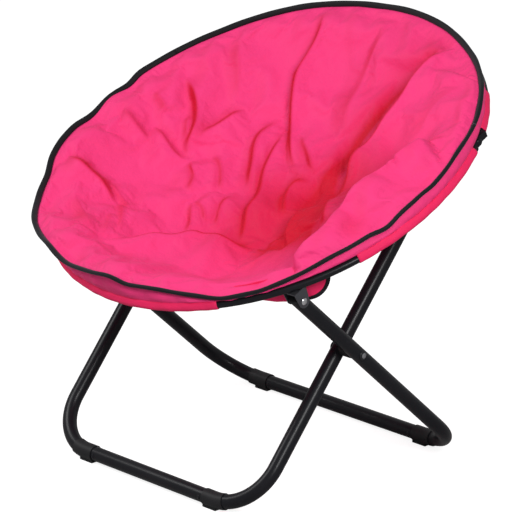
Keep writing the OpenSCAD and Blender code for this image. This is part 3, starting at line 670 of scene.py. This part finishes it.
def bowl_top(share, angle):
    """Edge height less (edge height + bowl_drop) times (1 - share squared) to a power, plus what stands up.

    A low roll follows the edge and fades away from its own crest. Along the near right the cover stands up to
    a nearly straight crest and hides the bowl behind it: it rises evenly from the edge to that crest and falls
    off on the bowl's side. At the front right the bowl has a pit."""
    reach, edge = edge_reach(angle) - 3, edge_height(angle) - 3.5
    edge_x, edge_s = polar(reach, angle)
    x, s = polar(share * reach, angle)
    s = (1 - share) * bowl_s + s
    turned = (angle + 180) % 360 - 180
    # the near right runs from -58 to 38 degrees with soft ends, the front lies round 268 degrees
    near = smooth_step((turned + 58) / 24) * smooth_step((38 - turned) / 34)
    front = bell(angle, 268, 32)
    power = 1.45 - 0.2 * np.sin(np.radians(angle)) + 1.1 * near
    h = edge - (edge + bowl_drop) * np.maximum(1 - share**2, 0) ** power
    inward = (1 - share) * np.hypot(edge_x, edge_s - bowl_s)
    roll = (7 + 8 * front) * (1 - near) * fade(inward - 50, 42) * (1 - fade(inward, 9, 1))
    away, where = to_line(x, s, near_crest)
    tall = np.interp(where, np.linspace(0, 1, len(crest_heights)), crest_heights)
    ends = smooth_step(where / 0.06) * smooth_step((1 - where) / 0.06)
    rise = inward / np.maximum(inward + np.abs(away), 0.01)
    crest = tall * ends * np.where(away < 0, fade(np.abs(away), 21, 1.4), rise ** 0.9)
    pit = 20 * fade(np.hypot((x - 130) / 75, (s + 165) / 60), 1)
    return x, s, h + roll + crest - pit


def normals_of(points, faces):
    """Unit normals at a mesh's points, on its upper side: the sum of the normals of the faces round each."""
    p = points[faces]
    face = np.cross(p[:, 2] - p[:, 0], p[:, 3] - p[:, 1])
    total = np.zeros_like(points)
    for k in range(4):
        np.add.at(total, faces[:, k], face)
    normals = unit(total)
    return normals * np.sign(normals[:, 2].mean())


flat_top = np.stack(bowl_top(share, angle), -1).reshape(-1, 3)
x, s = flat_top[:, 0], flat_top[:, 1]
top_faces = grid_faces(cells, cells)
top_normals = normals_of(flat_top, top_faces)
# crease_field also gives the painted shade beside each crest
rise_of_creases, painted_crease_shade, held = crease_field(x, s)
to_edge = 1 - share.ravel()
free = smooth_step(to_edge / 0.07)
puff = 5 * waves(x, s, 1.3, 120) + 2.5 * waves(x, s, 3.3, 55)
move = rise_of_creases * smooth_step(to_edge / 0.04 + 0.12) + puff * free
top = flat_top + top_normals * move[:, None]
print("upper face from", top.min(0).round(0), "to", top.max(0).round(0), "mm")

# %% Where shade is painted into the cloth
# Where the cloth is seen a deeper pink, shade is painted into its colour: in the hollow behind the near crest, on the
# plane behind the back fold, in a dent at the right, in the groove, beside each crest, and on the sides of the creases
# that turn away from one fixed direction, that of the light. A share from 0 to 1 carries this painted shade on the
# cloth.
def patch(x_middle, s_middle, x_half, s_half, x_fade, s_fade):
    """1 in a box on the seat, and round it e to the minus (distance outside / fade) squared, in x and in s."""
    far_x = np.maximum(np.abs(x - x_middle) - x_half, 0) / x_fade
    far_s = np.maximum(np.abs(s - s_middle) - s_half, 0) / s_fade
    return np.exp(-(far_x**2) - far_s**2)


# painted shade in three soft boxes: the hollow behind the near crest, the plane behind the back fold and a dent at the
# right
hollow, behind, dent = patch(60, -70, 40, 40, 90, 75), patch(185, -30, 25, 70, 52, 80), patch(325, -125, 0, 0, 24, 24)
# painted shade along the groove beside the back fold
groove = to_line(x, s, groove_line)[0]
in_groove = np.where(groove > 0, fade(groove, 16), fade(np.abs(groove), 34, 1))
# painted shade on crease faces that turn away from a fixed direction of light
turned_away = (top_normals - normals_of(top, top_faces)) @ (0.8, -0.2, 0.55)
painted_fold_shade = np.clip(0.7 * hollow + 0.5 * behind + 0.35 * dent + 0.5 * painted_crease_shade + 0.8 * in_groove
                   + 0.9 * np.maximum(turned_away, 0) * free, 0, 1)
# prints how much of the upper face carries more than half of the painted shade
print("deep dye covers", round(float((painted_fold_shade > 0.5).mean() * 100)), "% of the upper face")

# %% The cloth simulation
def blown_cloth(points, faces, pin, pressure, slack, cap, frames=20):
    """Blow a cloth up for some frames, held by the pin weights, and limit each point's move to cap mm."""
    mesh = bpy.data.meshes.new("trial_cloth")
    mesh.from_pydata((points * mm).tolist(), [], faces.tolist())
    trial = add_object("trial_cloth", mesh)
    holds = trial.vertex_groups.new(name="held")
    for level in range(1, 11):
        chosen = np.nonzero(np.round(pin * 10).astype(int) == level)[0]
        holds.add(chosen.tolist(), level / 10, "REPLACE")
    modifier = trial.modifiers.new("cloth", "CLOTH")
    settings = modifier.settings
    for key, value in dict(quality=6, mass=0.25, tension_stiffness=25, compression_stiffness=25, shear_stiffness=8,
                           bending_stiffness=4.0, air_damping=2, use_pressure=True, uniform_pressure_force=pressure,
                           vertex_group_mass="held", shrink_min=-slack).items():
        setattr(settings, key, value)
    settings.effector_weights.gravity = 0
    modifier.collision_settings.use_collision = False
    modifier.point_cache.frame_start, modifier.point_cache.frame_end = 1, frames
    for frame_number in range(1, frames + 1):
        bpy.context.scene.frame_set(frame_number)
    result = trial.evaluated_get(bpy.context.evaluated_depsgraph_get())
    moved = read(result.data.vertices, "co", 3)
    bpy.data.objects.remove(trial)
    bpy.data.meshes.remove(mesh)
    bpy.context.scene.frame_set(1)
    step = moved / mm - points
    size = np.linalg.norm(step, axis=1, keepdims=True)
    return points + step * np.minimum(1, cap / np.maximum(size, 1e-6))


def half_way(table):
    """A table with a row between each two rows, at their mean."""
    out = np.zeros((2 * len(table) - 1, *table.shape[1:]))
    out[::2], out[1::2] = table, (table[:-1] + table[1:]) / 2
    return out


coarse = (cells + 1) // 2
pin = np.clip(np.maximum(held, 1.2 * (to_edge < 7.0 / cells)), 0, 1).reshape(cells, cells)[::2, ::2]
start = top.reshape(cells, cells, 3)[::2, ::2].reshape(-1, 3)
began = time.time()
moved = blown_cloth(start, grid_faces(coarse, coarse), pin.ravel(), pressure=3.0, slack=0.022, cap=14) - start
print("the cloth moved by up to", np.linalg.norm(moved, axis=1).max().round(1), "mm in",
      round(time.time() - began), "s")
top = top + half_way(half_way(moved.reshape(coarse, coarse, 3)).swapaxes(0, 1)).swapaxes(0, 1).reshape(-1, 3)

# %% The seat's lower face
low_height, low_drop, low_r, low_power = 9.2, 108.8, 343.0, 2.4


def bowl_low(share, angle):
    """The cover's underside: flat over the hoop, then low_drop down by 1 minus a power of its own share."""
    x, s = polar(share * edge_r, angle)
    s = (1 - share) * bowl_s + s
    ds = s - bowl_s
    length = np.maximum(np.hypot(x, ds), 0.01)
    b = bowl_s * ds / length
    reach = -b + np.sqrt(b * b - bowl_s**2 + low_r**2)
    inner = np.minimum(length / reach, 1)
    return x, s, low_height - low_drop * (1 - inner**low_power)


lx, ls, lh = [v.ravel() for v in bowl_low(share, angle)]
low_waves = 3.5 * waves(lx, ls, 4.1, 110) + 1.6 * waves(lx, ls, 0.9, 45)
low_radial = 1.8 * np.sin(np.radians(angle.ravel()) * 22 + 2 * waves(lx, ls, 2.2, 160)) \
    * smooth_step((1 - to_edge) * 1.4)
low_move = (low_waves + 0.25 * rise_of_creases + low_radial) * smooth_step(to_edge / 0.14)
low = np.stack([lx, ls, lh + low_move], -1)
print("least padding:", (top - low)[to_edge > 0.03, 2].min().round(1), "mm")

# %% The side wall, and the whole shell
wall_rows = 11
ring_angle = angle.ravel()[ring]
v = np.linspace(0, 1, wall_rows + 2)[1:-1, None]
out_x, out_s = polar(1, ring_angle)
out = np.stack([out_x, out_s, 0 * ring_angle], -1)
tucks = 0.9 * np.sin(np.radians(ring_angle) * 61 + 3 * np.sin(np.radians(ring_angle) * 7)) \
    + 0.8 * np.sin(np.radians(ring_angle) * 37)
bulge = np.sin(np.pi * v) * (4.0 + tucks[None, :])
wall = top[ring][None] * (1 - v[..., None]) + low[ring][None] * v[..., None] + bulge[..., None] * out[None]
whole = np.concatenate([top, low, wall.reshape(-1, 3)])
count = cells * cells
rows = np.concatenate([ring[None], 2 * count + np.arange(wall_rows * len(ring)).reshape(wall_rows, -1),
                       count + ring[None]])
turn_next = np.roll(rows, -1, 1)
wall_faces = np.stack([rows[:-1], turn_next[:-1], turn_next[1:], rows[1:]], -1).reshape(-1, 4)
whole_faces = np.concatenate([top_faces, top_faces[:, ::-1] + count, wall_faces])
print("seat shell:", len(whole), "points,", len(whole_faces), "quads")

# %% The cover's own map: distance along the cloth from the bottom of the bowl
map_steps = 64
wall_height = 32
apart = 2.0  # metres between the map's parts
map_share, map_angle = np.meshgrid(np.linspace(0, 1, map_steps + 1), np.arange(360), indexing="ij")
reach_3d = np.stack(bowl_top(map_share, map_angle), -1)
cloth_run = np.concatenate([np.zeros((1, 360)), np.cumsum(np.linalg.norm(np.diff(reach_3d, axis=0), axis=2), 0)])
i, j = (share * map_steps).astype(int).clip(0, map_steps - 1), angle.astype(int) % 360
f = share * map_steps - i
run = (cloth_run[i, j] * (1 - f) + cloth_run[i + 1, j] * f).ravel()
ray = np.arctan2(flat_top[:, 1] - bowl_s, flat_top[:, 0])
uv_top = np.stack([run * np.cos(ray), run * np.sin(ray)], -1) * mm
uv_wall = np.stack([np.tile(np.radians(ring_angle) * edge_r, (wall_rows, 1)),
                    np.tile(v * wall_height, (1, len(ring)))], -1).reshape(-1, 2) * mm
uv_whole = np.concatenate([uv_top, uv_top + [apart, 0], uv_wall + [0, apart]])
print("cloth runs", run.max().round(0), "mm from the bottom to the edge at most")

# %% [markdown]
# ## Two halves that meet on the hinge line
# The hoop folds in two, and the seat crumples with it. So the shell is cut on the line between the hinges. Each half
# is closed with a flat face and rides on its half of the hoop. At rest the cover must look whole: both halves keep the
# shading of the uncut cloth, which the shell carries along as an attribute.

# %% The shell
shell = new_piece("seat_shell", place(*whole.T), whole_faces, seat_pink, uv=uv_whole)
# the upper face carries the painted shade; the lower face and the wall carry none
painted_shade = np.zeros(len(whole), np.float32)
painted_shade[:count] = painted_fold_shade
shell.data.attributes.new("painted_fold_shade", "FLOAT", "POINT").data.foreach_set("value", painted_shade)
outward_faces(shell)
fine = shell.data
bpy.data.objects.remove(shell)
shade = read(fine.vertex_normals, "vector", 3)
fine.attributes.new("cloth_normal", "FLOAT_VECTOR", "POINT").data.foreach_set("vector", shade.ravel())
print("fine shell:", len(fine.vertices), "points")

# %% Cut the seat
def seat_half(name, body, node, front):
    """One side of the shell, cut on the hinge line, capped, and shaded as the whole cloth."""
    work = bmesh.new()
    work.from_mesh(fine)
    everything = list(work.verts) + list(work.edges) + list(work.faces)
    bmesh.ops.bisect_plane(work, geom=everything, dist=1e-6, plane_co=place(0, hinge_s, 0).tolist(),
                           plane_no=rearward.tolist(), clear_outer=front, clear_inner=not front)
    open_edges = [e for e in work.edges if len(e.link_faces) == 1]
    caps = bmesh.ops.holes_fill(work, edges=open_edges, sides=0)["faces"]
    cap_count = len(caps)
    for face in bmesh.ops.triangulate(work, faces=caps)["faces"]:
        face.smooth = False
        face.material_index = 0
    bmesh.ops.recalc_face_normals(work, faces=work.faces)
    mesh = bpy.data.meshes.new(name)
    work.to_mesh(mesh)
    work.free()
    mesh.materials.append(seat_pink)
    kept = read(mesh.attributes["cloth_normal"].data, "vector", 3)
    kept /= np.maximum(np.linalg.norm(kept, axis=1, keepdims=True), 1e-9)
    mesh.attributes.remove(mesh.attributes["cloth_normal"])
    totals = read(mesh.polygons, "loop_total", kind=np.int32)
    on_cap = np.repeat(~read(mesh.polygons, "use_smooth", kind=bool), totals)
    cap_normals = np.repeat(read(mesh.polygon_normals, "vector", 3), totals, 0)
    cloth_normals = kept[read(mesh.loops, "vertex_index", kind=np.int32)]
    mesh.normals_split_custom_set(np.where(on_cap[:, None], cap_normals, cloth_normals).tolist())
    piece = add_object(name, mesh)
    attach(piece, body)
    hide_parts(node)
    print(name, len(mesh.polygons), "faces,", cap_count, "cap")
    return piece


seat_front = seat_half("seat_front", "front_hoop", "seat_pad_front", True)
seat_rear = seat_half("seat_rear", "rear_hoop", "seat_pad_rear", False)


def crumple(piece, body):
    """Give a soft piece a mesh of its own."""
    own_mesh(piece)


crumple(seat_front, "front_hoop")
crumple(seat_rear, "rear_hoop")

# %% [markdown]
# ## The bound edge
# The seat's edge is wrapped in a black woven tape, folded over and sewn through. It is a
# profile carried along the edge line: a flattened loop, about 11 by 7 mm. The tape runs
# straight from one gather to the next, and its thickness and twist wander.

# %% Binding
half_wide, half_thick = 5.4, 3.5
tape_sides, tape_step = 16, 4.5
around = round_angles(tape_sides)
# a flattened round: cosine and sine to the power 0.75
tape_profile = np.stack([half_wide * np.sign(np.cos(around)) * np.abs(np.cos(around)) ** 0.75,
                         half_thick * np.sign(np.sin(around)) * np.abs(np.sin(around)) ** 0.75], -1)


def tape(name, rows, body, node):
    """Bound tape: a tube from rows of points round a path, closed with a fan at each end."""
    count, sides = rows.shape[:2]
    points = np.concatenate([rows.reshape(-1, 3), rows[:1].mean(1), rows[-1:].mean(1)])
    faces = [list(f) for f in grid_faces(count, sides, wrap=True)]
    first, last = count * sides, count * sides + 1
    ring = np.arange(sides)
    faces += [[first, (i + 1) % sides, i] for i in ring]
    faces += [[last, first - sides + i, first - sides + (i + 1) % sides] for i in ring]
    run = along(rows.mean(1))
    girth = np.linspace(0, 1, sides, endpoint=False) * np.linalg.norm(
        np.roll(rows[count // 2], -1, 0) - rows[count // 2], axis=1).sum()
    uv = np.stack(np.broadcast_arrays(run[:, None], girth[None, :]), -1).reshape(-1, 2)
    uv = np.concatenate([uv, uv[:1], uv[-1:]])
    piece = new_piece(name, points, faces, edge_black, body, uv)
    outward_faces(piece)
    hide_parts(node)
    crumple(piece, body)
    return piece


def binding(name, start, stop, body, node):
    """The tape's profile along the edge line from one angle to another, twisted by 45 degrees and a little more."""
    a = np.linspace(start, stop, int(abs(stop - start) / 360 * 2 * np.pi * edge_r / tape_step))
    reach = edge_reach(a) + 0.4 * waves(a * 6.7, 0 * a, 0.7, 60)
    rise = edge_height(a) + 0.4 * waves(a * 6.7, 0 * a, 2.7, 75)
    # between 172 and 185 degrees the cover puffs up over the tape and hides most of it
    rise = rise - 5.0 * bell(a, 178.5, 5.5)
    twist = np.radians(45 + 10 * waves(a * 6.7, 0 * a, 5.1, 140))[:, None]
    facing = np.cos(twist) * outward_at(a) + np.sin(twist) * upward
    size = 1 + 0.06 * waves(a * 6.7, 0 * a, 3.9, 38)
    rows = tube_rows(place(*polar(reach, a), rise), facing, tape_profile[None] * size[:, None, None] * mm)
    return tape(name, rows, body, node)


# where the edge line crosses the hinge line: s rises up to 80 degrees and falls again from 100
table_s = polar(reach_table, degrees)[1]
hinge_right = np.interp(hinge_s, table_s[:80], degrees[:80])
hinge_left = np.interp(hinge_s, table_s[180:100:-1], degrees[180:100:-1])
gap_angle = 0.03
binding("front_binding", hinge_left + gap_angle, hinge_right + 360 - gap_angle, "front_hoop", "front_edge_binding")
binding("rear_binding", hinge_right + gap_angle, hinge_left - gap_angle, "rear_hoop", "rear_edge_binding")
print("binding meets at", hinge_right.round(2), "and", hinge_left.round(2), "degrees")

# %% [markdown]
# ## Sleeves round the hoop
# Six lengths of the same cloth are sewn under the edge and drawn over the hoop's tube. Each is
# a thin tube of cloth, open at both ends, gathered a little where it turns round the hoop. It
# is one closed surface: the outer face runs along, turns over the hem and comes back inside.

# %% Sleeves
sleeve_sides = 28
sleeve_turn = round_angles(sleeve_sides)
sleeve_r, sleeve_cloth, sleeve_step = 7.7, 0.9, 3.5


def sleeve(name, start, stop, body, node):
    """A cloth tube round the hoop, with a ridge toward the seat, cross wrinkles and turned hems."""
    length = math.radians(stop - start) * hoop_r
    a = np.linspace(start, stop, max(12, int(length / sleeve_step)))
    run_mm = np.radians(a) * hoop_r
    path = place(*polar(hoop_r, a), 0 * a)
    r, q = np.meshgrid(run_mm, sleeve_turn, indexing="ij")
    toward_seat = np.maximum(-np.sin(q), 0)
    hem = np.minimum(run_mm - run_mm[0], run_mm[-1] - run_mm)[:, None]
    size = sleeve_r + 2.6 * toward_seat**5
    size = size + 0.45 * np.sin(r / 6.2 + 1.5 * np.sin(q + r / 40)) * (0.4 + 0.6 * toward_seat)
    size = size + 0.35 * waves(r, q * 30, 1.1, 34)
    size = size + 0.3 * fade(hem - 5, 3.0) - 0.35 * fade(hem - 9, 1.6)
    outer, inner = [tube_rows(path, outward_at(a), np.stack([w * np.cos(q), w * np.sin(q)], -1) * mm)
                    for w in (size, size - sleeve_cloth)]
    rows = np.concatenate([outer, inner[::-1]])
    first = np.arange(sleeve_sides)
    last = (len(rows) - 1) * sleeve_sides + first
    closing = np.stack([last, np.roll(last, -1), np.roll(first, -1), first], -1)
    faces = np.concatenate([grid_faces(len(rows), sleeve_sides, wrap=True), closing])
    run_all = np.concatenate([r, r[::-1] + 500]).ravel() * mm
    uv = np.stack([run_all, np.tile(sleeve_turn * 8.5 * mm, len(rows))], -1)
    piece = new_piece(name, rows, faces, under_pink_painted_shade, body, uv)
    outward_faces(piece)
    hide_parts(node)
    return piece


sleeve_spans = {
    "middle_front": (239.9, 300.1, "front_hoop", "front_sleeve_middle"),
    "right_front": (-24.1, 20.25, "front_hoop", "front_sleeve_right"),
    "left_front": (159.75, 204.1, "front_hoop", "front_sleeve_left"),
    "middle_rear": (57.75, 122.25, "rear_hoop", "rear_sleeve_middle"),
    "right_rear": (28.0, 43.7, "rear_hoop", "rear_sleeve_right"),
    "left_rear": (136.3, 152.0, "rear_hoop", "rear_sleeve_left"),
}
for label, (start, stop, body, node) in sleeve_spans.items():
    sleeve("sleeve_" + label, start, stop, body, node)
print(len(sleeve_spans), "sleeves")

# %% [markdown]
# ## Flaps behind the front brackets
# Where each front bracket holds the bare hoop, a flap of cloth hangs behind it and hides the
# gap. It is sewn along its top, and the part behind the bracket has a bound black edge. The
# flap is a sheet with a face on both sides, which waves a little, because nothing pulls it.

# %% Flaps
flap_middle, flap_reach = -43.0, 355.0
flap_start, flap_stop, flap_top, flap_cloth = -87, 73.5, 8.5, 1.6
flap_edge_wide, flap_edge_thick = 8.4, 4.2
flap_lower = [(-87, -8), (-60, -24), (-25, -40), (20, -50), (48, -50), (61, -38), (70, -25), (74, 8)]


def flap_point(along_mm, h, out_mm, hand):
    """A point of a flap: an arc round the hoop's middle at flap_reach, h above its plane, out_mm further out."""
    x, s = polar(flap_reach + out_mm, flap_middle + np.degrees(along_mm / flap_reach))
    return place(hand * x, s, h)


def flap_wave(along_mm, h):
    """How far the flap waves in and out, more toward its free edge, in mm."""
    drop = np.clip((8 - h) / 58, 0, 1)
    return drop * (2.2 * np.sin(along_mm / 17 + 0.6) + 1.2 * np.sin(along_mm / 8.3 + h / 14)) \
        + 0.5 * np.sin(along_mm / 5.1 + h / 9)


def flap(name, hand, node):
    """A cloth flap: a grid from its sewn top to its curved lower edge, with a back face behind it."""
    down, length_steps = 22, 60
    a = np.linspace(flap_start, flap_stop, length_steps)
    lowest = np.interp(a, *np.array(flap_lower, float).T)
    h = flap_top + (lowest[None] - flap_top) * np.linspace(0, 1, down)[:, None]
    al = np.broadcast_to(a, h.shape)
    wave = flap_wave(al, h)
    points = [flap_point(al, h, wave - back, hand).reshape(-1, 3) for back in (0, flap_cloth)]
    faces, behind_by = grid_faces(down, length_steps), down * length_steps
    hem = edge_ring(down, length_steps)[::-1]
    turn_next = np.roll(hem, -1)
    sides = np.stack([hem, turn_next, turn_next + behind_by, hem + behind_by], -1)
    uv = np.stack([al, h], -1).reshape(-1, 2) * mm
    piece = new_piece(name, np.concatenate(points), np.concatenate([faces, faces[:, ::-1] + behind_by, sides]),
                      under_pink_painted_shade, "front_hoop", np.concatenate([uv, uv]))
    outward_faces(piece)
    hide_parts(node)
    crumple(piece, "front_hoop")
    return piece


def flap_edge(name, hand, node):
    """The flap's bound edge: a flattened tube of tape along the lower edge, behind the bracket."""
    line = soft_line([(-5, -45), (20, -50), (48, -50), (62, -40), (70, -22), (73, 4)], 10)
    a, h = line.T
    path = flap_point(a, h, flap_wave(a, h) - 0.8, hand)
    outward = flap_point(a, h, 10, hand) - flap_point(a, h, 0, hand)
    turn = round_angles(12)
    profile = np.stack([flap_edge_thick / 2 * np.cos(turn), flap_edge_wide / 2 * np.sin(turn)], -1) * mm
    return tape(name, tube_rows(path, outward, profile), "front_hoop", node)


for label, hand in [("left", -1), ("right", 1)]:
    flap("flap_cloth_" + label, hand, "front_flap_" + label)
    flap_edge("flap_tape_" + label, hand, "flap_binding_" + label)
print("flaps hang on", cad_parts["front_hoop"].name)

# %% [markdown]
# ## Floor and light
# The photograph has a white ground and soft light. A pale floor and a bright even sky give
# that. The key lamp stands at the right, low enough to leave the far sides of the folds in
# shade, and a wider lamp at the left keeps the front from going dull.

# %% Floor, sky and lamps
floor_r, floor_z = 9, -0.0004
floor_turn = round_angles(96)
floor_points = np.stack([floor_r * np.cos(floor_turn), floor_r * np.sin(floor_turn), 0 * floor_turn + floor_z], -1)
floor_white, floor_tree, floor_shader = finish("floor_white", (0.40, 0.40, 0.40), 0.8, Specular_IOR_Level=0.05,
                                               Emission_Color=(1, 1, 1, 1), Emission_Strength=0.0)
floor_tree.links.new(tone_ramp(floor_tree, noise(floor_tree, own_place(floor_tree), 3.0), (0.395, 0.395, 0.395),
                               (0.405, 0.405, 0.405)), floor_shader.inputs["Base Color"])
seen = floor_tree.nodes.new("ShaderNodeLightPath").outputs["Is Camera Ray"]
floor_tree.links.new(times(floor_tree, seen, 0.86), floor_shader.inputs["Emission Strength"])
floor = new_piece("floor", floor_points, [list(range(len(floor_points)))], floor_white, smooth=False)

world = bpy.data.worlds.new("sky")
bpy.context.scene.world = world
world.use_nodes = True
sky_tree = world.node_tree
soft_sky = sky_tree.nodes["Background"]
soft_sky.inputs["Color"].default_value = (1, 1, 1, 1)
soft_sky.inputs["Strength"].default_value = 0.42
white_ground = add_node(sky_tree, "ShaderNodeBackground", Color=(1, 1, 1, 1), Strength=1.0)
sky_mix = sky_tree.nodes.new("ShaderNodeMixShader")
for source, target in [(sky_tree.nodes.new("ShaderNodeLightPath").outputs["Is Camera Ray"], sky_mix.inputs[0]),
                       (soft_sky.outputs[0], sky_mix.inputs[1]), (white_ground.outputs[0], sky_mix.inputs[2]),
                       (sky_mix.outputs[0], sky_tree.nodes["World Output"].inputs["Surface"])]:
    sky_tree.links.new(source, target)


def lamp(name, toward, distance, size, power):
    """A square area lamp that looks at the seat from a direction in the frame."""
    data = bpy.data.lights.new(name, "AREA")
    data.size, data.energy = size, power
    lamp_object = add_object(name, data)
    seat_middle = np.array([0, 0, 0.45])
    lamp_object.matrix_world = looking(toward, seat_middle + unit(np.asarray(toward, float)) * distance)


lamp("key_lamp", toward=(0.85, -0.41, 0.50), distance=2.8, size=0.7, power=42)
lamp("left_lamp", toward=(-0.55, -0.62, 0.70), distance=2.8, size=1.2, power=38)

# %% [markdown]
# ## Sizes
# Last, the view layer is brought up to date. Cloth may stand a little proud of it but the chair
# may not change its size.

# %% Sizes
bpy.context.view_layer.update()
